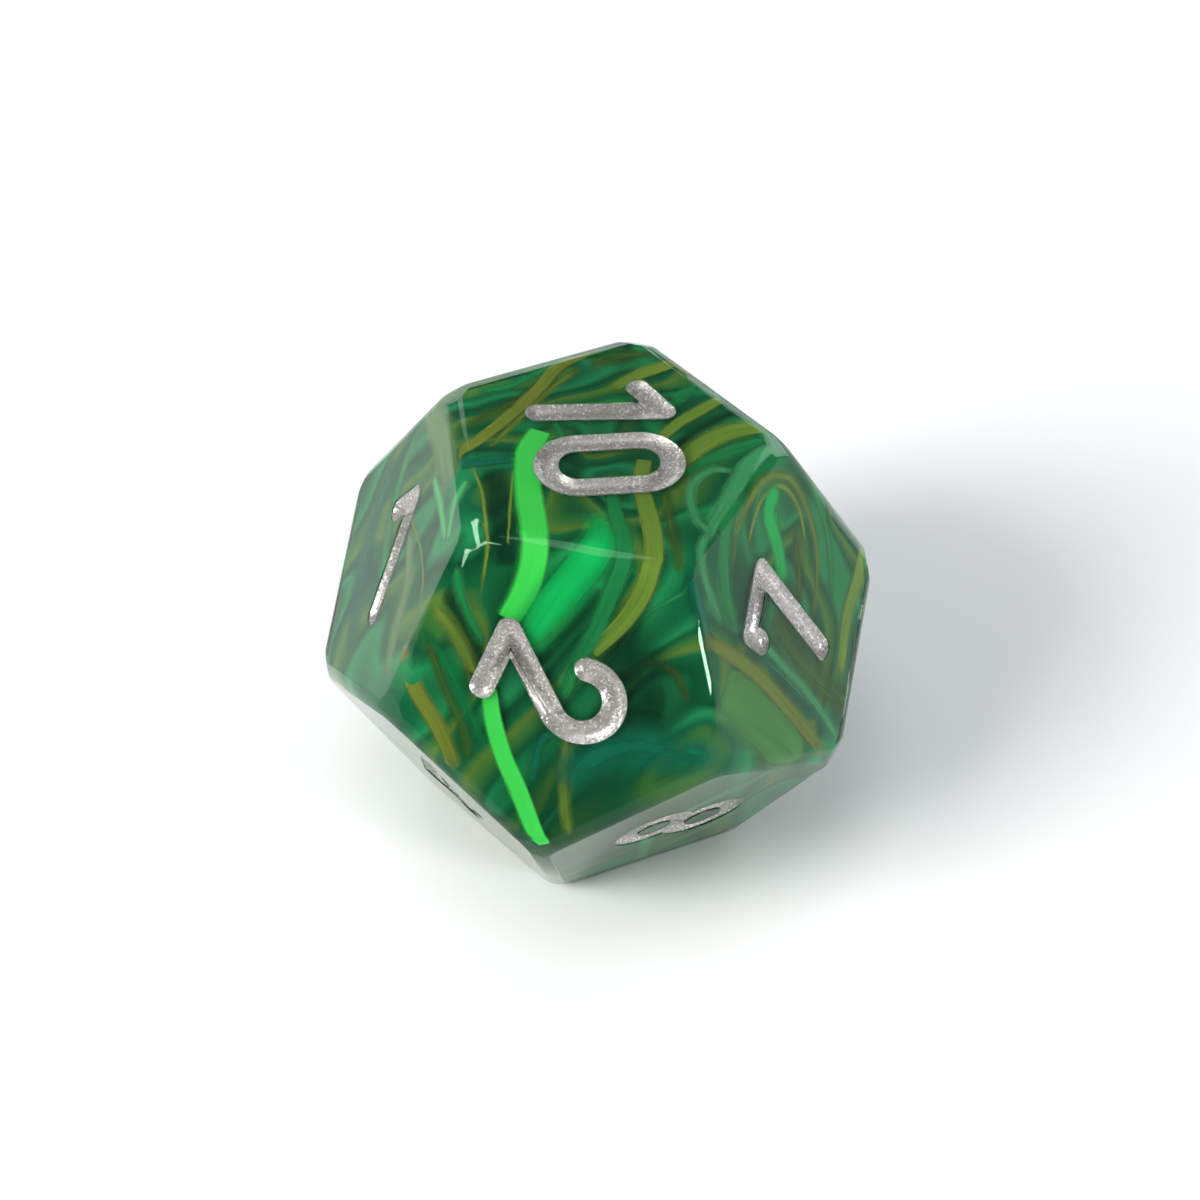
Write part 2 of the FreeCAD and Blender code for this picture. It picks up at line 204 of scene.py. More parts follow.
def make_lamp(name, place, size, watts, colour):
    """A softbox that faces the die, its size given across and up."""
    lamp = bpy.data.objects.new(name, bpy.data.lights.new(name, "AREA"))
    bpy.context.scene.collection.objects.link(lamp)
    lamp.data.shape = "RECTANGLE"
    lamp.data.size, lamp.data.size_y = size
    lamp.data.energy = watts
    lamp.data.color = srgb(colour)[:3]
    lamp.location = place
    lamp.rotation_euler = (CENTRE - Vector(place)).to_track_quat("-Z", "Y").to_euler()


# name: (place in metres, size across and up in metres, watts, colour)
LAMPS = {
    "front_left_softbox": ((-0.30, -0.275, 0.30), (0.20, 0.20), 2.6, "#FFFDF8"),
    "front_right_softbox": ((0.459, -0.154, 0.095), (0.11, 0.11), 1.5, "#FFFFFF"),
    "back_left_softbox": ((-0.175, 0.45, 0.14), (0.34, 0.34), 0.7, "#F8FBFF"),
    "back_right_softbox": ((0.175, 0.45, 0.14), (0.34, 0.34), 0.7, "#F8FBFF"),
    "top_panel": ((-0.06, -0.10, 0.52), (0.22, 0.22), 0.55, "#FCFEFF"),
    "left_strip": ((-0.33, -0.07, 0.31), (0.10, 0.015), 0.10, "#FFFFFF"),
}
TENT_COLOUR, TENT_STRENGTH = "#F6F9FB", 0.24

bpy.ops.object.select_all(action="DESELECT")
make_table()
for name, (place, size, watts, colour) in LAMPS.items():
    make_lamp(name, place, size, watts, colour)
world = bpy.data.worlds.new("light_tent")
bpy.context.scene.world = world
world.use_nodes = True
world.node_tree.nodes["Background"].inputs["Color"].default_value = srgb(TENT_COLOUR)
world.node_tree.nodes["Background"].inputs["Strength"].default_value = TENT_STRENGTH
bpy.context.scene.view_settings.view_transform = "Standard"
print("lamps:", len(LAMPS))

# %% [markdown]
# ## Clear casting
#
# The blank is a regular dodecahedron. Blender has no such primitive, so a cube is cut by the twelve
# face planes with bisect, which also closes each cut. Tumbling rounds all thirty edges alike, which is
# one bevel with a circular profile, and wears the twenty corners back further, which is a sphere that
# just takes the corners off.

# %% Work helpers
def only(piece):
    """Make one object the selected, active one."""
    bpy.ops.object.select_all(action="DESELECT")
    piece.select_set(True)
    bpy.context.view_layer.objects.active = piece


def apply_modifier(piece, kind, **settings):
    """Add a modifier and apply it at once."""
    only(piece)
    modifier = piece.modifiers.new(kind.lower(), kind)
    for key, value in settings.items():
        setattr(modifier, key, value)
    bpy.ops.object.modifier_apply(modifier=modifier.name)


def finish_piece(piece, material, slot, *nodes):
    """Give a piece its material, parent it under the root, and hide the frame nodes that it stands in for."""
    piece.data.materials.clear()
    piece.data.materials.append(material)
    only(piece)
    bpy.ops.object.transform_apply(location=True, rotation=True, scale=True)
    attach(piece, "root")
    if nodes:
        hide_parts(*nodes)


# %% Blank by bisect and bevel
EDGE_ROUND = 0.8
EDGE_SEGMENTS = 8
EDGE_TURN = math.acos(1 / math.sqrt(5))
CORNER_WEAR = 0.45
CORNER_STRETCH = math.sqrt(15 - 6 * math.sqrt(5))  # a corner's distance from the centre, per inradius
BALL_SUBDIVISIONS = 6
MERGE = 0.001 * MM


def dodecahedron(name, inset, edge_round):
    """A dodecahedron whose faces lie inset below the die's, with round edges, sizes in millimetres."""
    inradius = HALF_FLATS - inset * MM
    bpy.ops.object.select_all(action="DESELECT")
    bpy.ops.mesh.primitive_cube_add(size=4 * inradius, location=CENTRE)
    block = bpy.context.object
    block.name = name
    bpy.ops.object.transform_apply(location=True, rotation=True, scale=True)
    bpy.ops.object.mode_set(mode="EDIT")
    for numeral in FACES:
        out = normal(numeral)
        bpy.ops.mesh.select_all(action="SELECT")
        bpy.ops.mesh.bisect(plane_co=CENTRE + out * inradius, plane_no=out, use_fill=True, clear_outer=True)
    bpy.ops.mesh.select_all(action="SELECT")
    bpy.ops.mesh.remove_doubles(threshold=MERGE)
    bpy.ops.mesh.bevel(offset=edge_round * MM * math.tan(EDGE_TURN / 2), segments=EDGE_SEGMENTS,
                       profile=0.5, affect="EDGES")
    bpy.ops.mesh.normals_make_consistent(inside=False)
    bpy.ops.object.mode_set(mode="OBJECT")
    reach = inradius * CORNER_STRETCH - CORNER_WEAR * MM
    bpy.ops.mesh.primitive_ico_sphere_add(subdivisions=BALL_SUBDIVISIONS, radius=reach, location=CENTRE)
    ball = bpy.context.object
    apply_modifier(block, "BOOLEAN", operation="INTERSECT", object=ball, solver="MANIFOLD")
    bpy.data.objects.remove(ball)
    return block


body = dodecahedron("resin_casting", 0, EDGE_ROUND)
print("blank:", len(body.data.polygons), "faces")

# %% [markdown]
# ## Engraving
#
# A round-nosed cutter leaves a groove with a U-shaped floor. The frame already holds what lies in each
# groove, so a copy of each paint filling, with its top carried out through the face, is the cutter.
# Cutting splits each face into odd polygons, so their shading is then made flat again by hand.

# %% Grooves by boolean
CUTTER_RISE = 0.6    # mm that a cutter stands proud of the paint
FILLING_MERGE = 0.0005 * MM
TOP_SLACK = 0.002 * MM
SMOOTH_ANGLE = math.radians(30)
PAINTS = sorted(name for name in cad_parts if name.endswith("_paint"))


def numeral_of(name):
    """The face that a paint filling belongs to."""
    return int(name.split("_")[1])


def copy_of_node(node, name):
    """A copy of a frame node with its doubles merged."""
    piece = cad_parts[node].copy()
    piece.data = piece.data.copy()
    piece.name = name
    piece.parent = None
    piece.matrix_world = Matrix.Identity(4)
    bpy.context.scene.collection.objects.link(piece)
    only(piece)
    bpy.ops.object.mode_set(mode="EDIT")
    bpy.ops.mesh.select_all(action="SELECT")
    bpy.ops.mesh.remove_doubles(threshold=FILLING_MERGE)
    bpy.ops.mesh.select_all(action="DESELECT")
    bpy.ops.object.mode_set(mode="OBJECT")
    return piece


def select_top(piece, out):
    """Select the flat top of a filling, and go to edit mode."""
    only(piece)
    bpy.ops.object.mode_set(mode="EDIT")
    bpy.ops.mesh.select_mode(type="FACE")
    bpy.ops.mesh.select_all(action="DESELECT")
    bpy.ops.object.mode_set(mode="OBJECT")
    top = max(out.dot(vertex.co) for vertex in piece.data.vertices)
    for polygon in piece.data.polygons:
        high = all(top - out.dot(piece.data.vertices[i].co) < TOP_SLACK for i in polygon.vertices)
        polygon.select = high and polygon.normal.dot(out) > 0.99
    bpy.ops.object.mode_set(mode="EDIT")


def cutter_of(node):
    """The cutter that opens one groove."""
    cutter = copy_of_node(node, node + "_cutter")
    out = normal(numeral_of(node))
    select_top(cutter, out)
    bpy.ops.mesh.extrude_region_move(TRANSFORM_OT_translate={"value": out * CUTTER_RISE * MM})
    bpy.ops.object.mode_set(mode="OBJECT")
    return cutter


cutters = [cutter_of(node) for node in PAINTS]
bpy.ops.object.select_all(action="DESELECT")
for cutter in cutters:
    cutter.select_set(True)
bpy.context.view_layer.objects.active = cutters[0]
bpy.ops.object.join()
engraver = cutters[0]


def engrave(piece):
    """Cut the numerals' grooves into a closed piece."""
    apply_modifier(piece, "BOOLEAN", operation="DIFFERENCE", object=engraver, solver="MANIFOLD")


engrave(body)
only(body)
bpy.ops.object.shade_smooth_by_angle(angle=SMOOTH_ANGLE)


def flatten_shading(piece):
    """Give each corner of a polygon that lies on a flat face that face's own normal."""
    mesh = piece.data
    shading = [corner.vector.copy() for corner in mesh.corner_normals]
    outs = [normal(numeral) for numeral in FACES]
    on_flat = [next((out for out in outs if abs(out.dot(vertex.co - CENTRE) - HALF_FLATS) < MERGE), None)
               for vertex in mesh.vertices]
    for polygon in mesh.polygons:
        for corner in polygon.loop_indices:
            out = on_flat[mesh.loops[corner].vertex_index]
            if out and polygon.normal.dot(out) > math.cos(SMOOTH_ANGLE):
                shading[corner] = out
    mesh.normals_split_custom_set(shading)


flatten_shading(body)
print("engraved casting:", len(body.data.polygons), "faces")

# %% [markdown]
# ### Cast polyester resin, tumbled
#
# Real polyester resin bends light a little more than window glass (IOR 1.52 to 1.56). Here the IOR is set
# lower and the reflections are tinted green, because the slanted faces otherwise mirror so much white
# table that the streams drown in it. That is a choice made for the eye, not a measured value. Tumbling
# leaves a wet shine with the finest haze, and fine rub marks, here 0.3 mm apart so that they show at all.

# %% Clear resin
def coordinates_mm(tree):
    """Object coordinates in millimetres."""
    source = add_node(tree, "ShaderNodeTexCoord")
    return add_node(tree, "ShaderNodeMapping", [("Vector", source, "Object")], Scale=(1000, 1000, 1000))


RESIN_IOR, RESIN_ROUGHNESS, REFLECTION_TINT = 1.46, 0.015, "#B4DCC0"
HAZE_SCALE, RUB_SCALE, RUB_STRENGTH, RUB_DEPTH = 0.35, 3.3, 0.03, 0.00002


def clear_resin():
    """Cast polyester resin, tumbled: gives the eye depth, a wet shine and a faint green cast."""
    material, tree, shader = new_material("cast_polyester_resin_tumbled")
    position = coordinates_mm(tree)
    haze = add_node(tree, "ShaderNodeTexNoise", [("Vector", position, "Vector")], Scale=HAZE_SCALE, Detail=2)
    tint = add_node(tree, "ShaderNodeValToRGB", [("Fac", haze, "Fac")])
    tint.color_ramp.elements[0].color = srgb("#D6F0DE")
    tint.color_ramp.elements[1].color = srgb("#E9F8EC")
    rubs = add_node(tree, "ShaderNodeTexNoise", [("Vector", position, "Vector")], Scale=RUB_SCALE, Detail=3)
    relief = add_node(tree, "ShaderNodeBump", [("Height", rubs, "Fac")], Strength=RUB_STRENGTH,
                      Distance=RUB_DEPTH)
    tree.links.new(tint.outputs["Color"], shader.inputs["Base Color"])
    tree.links.new(relief.outputs["Normal"], shader.inputs["Normal"])
    shader.inputs["Transmission Weight"].default_value = 1
    shader.inputs["Roughness"].default_value = RESIN_ROUGHNESS
    shader.inputs["IOR"].default_value = RESIN_IOR
    shader.inputs["Specular Tint"].default_value = srgb(REFLECTION_TINT)
    return material


finish_piece(body, clear_resin(), "clear_green_resin", "resin_body")

# %% [markdown]
# ## Coloured streams
#
# Each stream is a thin ribbon of pigmented resin, drawn out by the pour, so it is wide in the middle
# and fades at its ends and edges. A grid is laid along a route like a strip of film: its length follows
# the route, and its width lies level with the face above it. How solid it is at each point is kept in a
# vertex attribute, which the material reads.

# %% Ribbon helper
def between(points, share):
    """Point at a share of the way along a smooth curve through the points (Catmull-Rom)."""
    span = min(int(share * (len(points) - 1)), len(points) - 2)
    local = share * (len(points) - 1) - span
    before = points[max(span - 1, 0)]
    start, end = points[span], points[span + 1]
    after = points[min(span + 2, len(points) - 1)]
    slope_in, slope_out = (end - before) / 2, (after - start) / 2
    a, b = local * local * (3 - 2 * local), local * (1 - local)
    return start * (1 - a) + end * a + slope_in * b * (1 - local) - slope_out * b * local


def fade(share, soft):
    """Zero at an edge, one at soft or more from it."""
    share = min(max(share / soft, 0), 1)
    return share * share * (3 - 2 * share)


LENGTHS, WIDTHS = 40, 12
SPREAD = 1.5        # a ribbon's width with its faded edges, per width that shows
ROUTE_STEP = 0.01   # share of a route over which its direction is taken


def kept_inside(point, cover):
    """The point, moved inwards where it lies less than the cover below a face or a worn corner."""
    for numeral in FACES:
        out = normal(numeral)
        point = point - out * max(out.dot(point - CENTRE) - HALF_FLATS + cover, 0)
    reach = HALF_FLATS * CORNER_STRETCH - CORNER_WEAR * MM - cover
    return CENTRE + (point - CENTRE) * min(reach / (point - CENTRE).length, 1)


def ribbon(name, depth, width, route, soft=(0.5, 0.5), ends=0.28, tip=0.2):
    """A ribbon along a route of (face, x, y), with soft left and right edges, in millimetres.

    The route is first carried on a little at both ends, because that much fades out.
    """
    bpy.ops.object.select_all(action="DESELECT")
    bpy.ops.mesh.primitive_grid_add(x_subdivisions=LENGTHS, y_subdivisions=WIDTHS, size=2)
    piece = bpy.context.object
    piece.name = name
    points = [on_face(face, x, y, depth) for face, x, y in route]
    normals = [normal(face) for face, _, _ in route]
    first = points[0] * (1 + ends) - points[1] * ends
    last = points[-1] * (1 + ends) - points[-2] * ends
    points = [first, *points, last]
    normals = [normals[0], *normals, normals[-1]]
    opacity = piece.data.attributes.new("opacity", "FLOAT", "POINT")
    for vertex in piece.data.vertices:
        along, across = (vertex.co.x + 1) / 2, vertex.co.y
        middle = between(points, along)
        ahead = between(points, min(along + ROUTE_STEP, 1)) - between(points, max(along - ROUTE_STEP, 0))
        out = between(normals, along).normalized()
        side = out.cross(ahead).normalized()
        taper = tip + (1 - tip) * math.sin(math.pi * along) ** 0.5
        half = SPREAD * width / 2 * taper * MM
        vertex.co = kept_inside(middle + side * half * across, depth * MM)
        edge = (across + 1) / 2
        solid = fade(edge, soft[0]) * fade(1 - edge, soft[1])
        opacity.data[vertex.index].value = solid * fade(along, ends) * fade(1 - along, ends)
    piece.data.polygons.foreach_set("use_smooth", [True] * len(piece.data.polygons))
    return piece


# %% [markdown]
# ### Pigmented resin
#
# Opaque pigment paste in clear resin: no shine of its own, because it lies inside resin of the same
# kind. Noise drawn out along the ribbon gives three or four filaments side by side across its width.

# %% Stream materials
RESINS = {
    "bright_green": ("#3CE854", "#58F46C"),
    "bright_emerald": ("#0A9C50", "#18D070"),
    "emerald": ("#068A40", "#16C868"),
    "emerald_dark": ("#075A36", "#128A54"),
    "green": ("#14683C", "#2EA060"),
    "light_green": ("#2E7440", "#64A858"),
    "dark": ("#02241A", "#064430"),
    "olive": ("#48681E", "#889C40"),
    "olive_dark": ("#224A22", "#527434"),
    "pale_olive": ("#4A7448", "#86A470"),
    "mint": ("#207A4C", "#5CB880"),
    "mint_bright": ("#30A050", "#70DC90"),
    "lime": ("#587A22", "#98B048"),
    "gold": ("#5C6216", "#9CA042"),
    "teal": ("#064C3E", "#158068"),
}


PIGMENT_ROUGHNESS = 0.8
FILAMENTS = (1.2, 3.5, 1)
FOLD = 0.3
PIGMENT_STOPS = (0.3, 0.56, 0.8, 1.0)
WISPINESS = 0.6
SOLID = {"bright_green": 1.2, "emerald": 0.8, "bright_emerald": 0.8}
THIN = 0.52


def stream_resin(colour):
    """Pigmented polyester resin: gives the eye soft strands of colour that follow the flow."""
    material, tree, shader = new_material(f"pigmented_resin_{colour}")
    dark, light = RESINS[colour]
    flow = add_node(tree, "ShaderNodeUVMap")
    stretch = add_node(tree, "ShaderNodeMapping", [("Vector", flow, "UV")], Scale=FILAMENTS)
    filaments = add_node(tree, "ShaderNodeTexNoise", [("Vector", stretch, "Vector")], Scale=1.0, Detail=4,
                         Distortion=0.6)
    lobes = add_node(tree, "ShaderNodeSeparateXYZ", [("Vector", flow, "UV")])
    folded = add_node(tree, "ShaderNodeMath", [(0, lobes, "Y"), (2, filaments, "Fac")],
                      operation="MULTIPLY_ADD")
    folded.inputs[1].default_value = FOLD
    ramp = add_node(tree, "ShaderNodeValToRGB", [("Fac", folded, "Value")])
    set_ramp(ramp, list(zip(PIGMENT_STOPS, (dark, light, light, dark))))
    solid = add_node(tree, "ShaderNodeAttribute", attribute_name="opacity")
    wisps = add_node(tree, "ShaderNodeMath", [(0, filaments, "Fac")], operation="MULTIPLY_ADD")
    wisps.inputs[1].default_value = WISPINESS
    wisps.inputs[2].default_value = SOLID.get(colour, THIN)
    shown = add_node(tree, "ShaderNodeMath", [(0, solid, "Fac"), (1, wisps, "Value")], operation="MULTIPLY",
                     use_clamp=True)
    tree.links.new(ramp.outputs["Color"], shader.inputs["Base Color"])
    tree.links.new(shown.outputs["Value"], shader.inputs["Alpha"])
    shader.inputs["Roughness"].default_value = PIGMENT_ROUGHNESS
    shader.inputs["Specular IOR Level"].default_value = 0
    return material


stream_resins = {colour: stream_resin(colour) for colour in RESINS}

# %% [markdown]
# ### Where each stream runs
#
# The streams stand for pieces of the frame. The bands are further ribbons that only enrich the look:
# they lie a little deeper, so the streams pass over them.

# %% Streams
# name: (colour, width, route, options)
STREAMS = {
    "bright_green_stream_upper": ("bright_green", 0.92,
         [(10, -1.4, -2.5), (10, -0.2, -3.1), (10, 1.9, -3.3), (10, 3.8, -3.3), (2, -4.8, -3.3),
         (2, -3.8, -3.0), (2, -2.7, -2.9), (2, -1.7, -3.0)],
         {"soft": (0.35, 0.2), "ends": 0.06, "tip": 0.55}),
    "bright_green_stream_lower": ("bright_green", 0.6,
         [(2, 1.5, -2.4), (2, 2.5, -1.8), (2, 3.7, -0.8), (2, 4.7, 0.3), (2, 5.8, 1.4), (2, 6.5, 2.2)],
         {"soft": (0.3, 0.2), "ends": 0.06, "tip": 0.55}),
    "emerald_stream_front": ("bright_emerald", 1.75,
         [(10, 3.7, -0.5), (10, 5.1, -0.8), (2, -5.0, -1.2), (2, -3.6, -1.5), (2, -2.2, -1.8),
         (2, -0.9, -1.9)], {"soft": (0.45, 0.5), "ends": 0.32, "tip": 0.45}),
    "olive_stream_front_top": ("lime", 0.66,
         [(10, 0.7, 1.5), (10, 2.1, 1.2), (10, 3.8, 1.3), (10, 5.3, 1.3), (2, -6.3, 1.1), (2, -5.1, 1.3),
         (2, -3.6, 1.1), (2, -2.1, 0.6)], {"soft": (0.2, 0.2), "ends": 0.1, "tip": 0.5}),
    "mint_thread_front": ("green", 0.69,
         [(10, 2.0, 0.1), (10, 3.3, 0.0), (10, 4.9, 0.2), (2, -5.8, 0.1), (2, -4.5, 0.2), (2, -3.0, 0.3),
         (2, -1.2, 0.2), (2, 0.2, 0.2)], {"soft": (0.3, 0.3), "ends": 0.15, "tip": 0.4}),
    "green_crescent_front": ("emerald_dark", 0.72,
         [(1, 5.1, -2.2), (2, 1.3, -4.3), (2, 2.5, -3.0), (2, 3.4, -2.0)], {}),
    "gold_thread_front": ("gold", 0.66,
         [(1, 4.2, -3.2), (2, 2.8, -5.0), (2, 3.7, -3.7), (2, 4.8, -2.5)], {"soft": (0.2, 0.4)}),
    "olive_stream_front": ("olive", 0.76,
         [(2, -0.7, -5.8), (2, -0.2, -4.8), (2, 0.5, -3.9), (2, 1.1, -3.3)], {}),
    "teal_veil_front": ("teal", 2.07,
         [(2, 3.1, 1.8), (2, 1.1, 3.2), (2, 0.3, 5.2), (2, -0.2, 6.8)], {"soft": (0.5, 0.5), "ends": 0.3}),
    "mustard_stream_top": ("gold", 0.5,
         [(10, -0.4, -5.8), (10, -1.4, -4.6), (10, -2.7, -3.3), (10, -4.0, -2.2), (10, -5.3, -1.2),
         (10, -6.3, 0.4)], {"soft": (0.3, 0.15), "ends": 0.08}),
    "gold_stream_top": ("lime", 0.58,
         [(10, -3.9, 0.9), (10, -4.6, 2.0), (10, -5.0, 3.0), (10, -5.4, 3.9)], {"soft": (0.2, 0.35)}),
    "lime_stream_top": ("lime", 0.55,
         [(10, -0.5, 2.2), (10, -1.5, 3.2), (10, -2.2, 4.2), (10, -2.8, 5.1)], {"soft": (0.3, 0.3)}),
    "olive_stream_top": ("lime", 0.86,
         [(10, 0.8, 3.0), (10, -0.1, 3.9), (10, -0.8, 5.1), (10, -1.1, 6.7)], {"soft": (0.25, 0.35)}),
    "mint_stream_top": ("mint", 0.72,
         [(10, 0.1, 6.7), (10, 1.1, 5.6), (10, 2.6, 4.8), (10, 4.0, 4.0), (7, 1.7, 5.7)],
         {"soft": (0.4, 0.3)}),
    "gold_thread_top": ("lime", 0.22,
         [(10, 0.6, -5.3), (10, 1.8, -5.1), (10, 3.3, -5.1), (2, -4.1, -5.0), (2, -2.5, -4.5)], {}),
    "lime_arch_right": ("lime", 0.33,
         [(7, 2.2, 3.1), (7, 4.0, 2.8), (7, 5.1, 1.6), (7, 4.7, 0.2), (7, 3.4, -0.8)], {}),
    "emerald_spot_right": ("emerald", 0.91,
         [(7, 4.8, 1.9), (7, 3.8, 2.1), (7, 2.8, 1.2), (7, 1.7, 0.4)], {"soft": (0.4, 0.4)}),
    "gold_stream_right": ("gold", 0.72,
         [(7, -2.2, 4.2), (7, -2.4, 1.7), (7, -3.0, -0.9), (7, -4.1, -4.1)], {"soft": (0.25, 0.4)}),
    "pale_green_stream_right": ("mint", 0.63,
         [(7, -1.1, 1.4), (7, -1.8, -1.0), (7, -2.5, -3.3), (7, -3.4, -5.2)], {}),
    "lime_stream_right": ("lime", 0.8,
         [(7, 4.7, -4.9), (7, 3.3, -4.9), (7, 1.4, -4.6), (7, -0.7, -4.8)], {"soft": (0.4, 0.3)}),
    "mint_arc_right": ("mint", 0.5,
         [(10, 1.5, 4.9), (10, 1.4, 4.1), (10, 2.3, 3.2), (10, 4.0, 3.1), (10, 4.9, 3.6)], {}),
    "olive_arc_left": ("olive", 0.25, [(1, 0.1, 1.7), (1, 2.4, 0.7), (1, 4.0, -0.8), (1, 4.2, -2.8)], {}),
    "mint_tongue_left": ("mint_bright", 0.58, [(1, 1.6, 3.4), (1, 2.9, 2.7), (1, 4.3, 1.7)], {}),
    "teal_stream_left": ("teal", 1.52,
         [(1, -3.6, 3.1), (1, -3.7, 0.7), (1, -3.0, -1.8), (1, -1.8, -4.0)], {"soft": (0.5, 0.5)}),
    "lime_stream_back_right": ("lime", 0.8,
         [(9, -4.6, -0.9), (9, -0.9, 2.3), (9, 3.2, 2.8), (9, 4.6, 0.5)], {}),
    "emerald_stream_back_right": ("emerald", 1.5, [(9, -2.8, -4.2), (9, 0.9, -1.8), (9, 3.7, -3.2)], {}),
    "gold_stream_back_left": ("gold", 0.7, [(5, -4.2, 2.8), (5, -0.9, 0.0), (5, 0.0, -4.6)], {}),
    "mint_stream_back_left": ("mint", 1.1, [(5, 1.4, 4.6), (5, 3.7, 0.9), (5, 2.8, -3.2)], {}),
    "bright_green_stream_back": ("bright_green", 1.1,
         [(11, -4.6, -1.8), (11, -0.9, 0.9), (11, 2.8, 0.5), (11, 4.6, 2.3)], {"soft": (0.25, 0.12)}),
    "teal_stream_back": ("teal", 1.7, [(11, -3.2, 3.7), (11, 0.9, 3.7), (11, 3.7, -0.9)], {}),
    "olive_stream_side_right": ("olive", 0.9, [(12, -4.6, 1.8), (12, 0.0, 1.4), (12, 3.2, -2.8)], {}),
    "emerald_stream_side_left": ("emerald", 1.2, [(6, -3.7, -3.7), (6, 0.0, -0.5), (6, 4.2, 0.9)], {}),
    "lime_stream_under_left": ("lime", 0.8, [(4, -4.2, 2.3), (4, 0.0, 2.8), (4, 3.7, -1.8)], {}),
    "mint_stream_under_right": ("mint", 1.2, [(8, -4.6, -0.9), (8, 0.0, 0.9), (8, 4.2, -1.4)], {}),
    "gold_stream_bottom": ("gold", 0.7, [(3, -4.6, 0.9), (3, -0.9, 2.8), (3, 3.7, 2.3)], {}),
    "emerald_stream_bottom": ("emerald", 1.4, [(3, -3.2, -3.2), (3, 0.5, -1.4), (3, 4.2, -2.8)], {}),
}

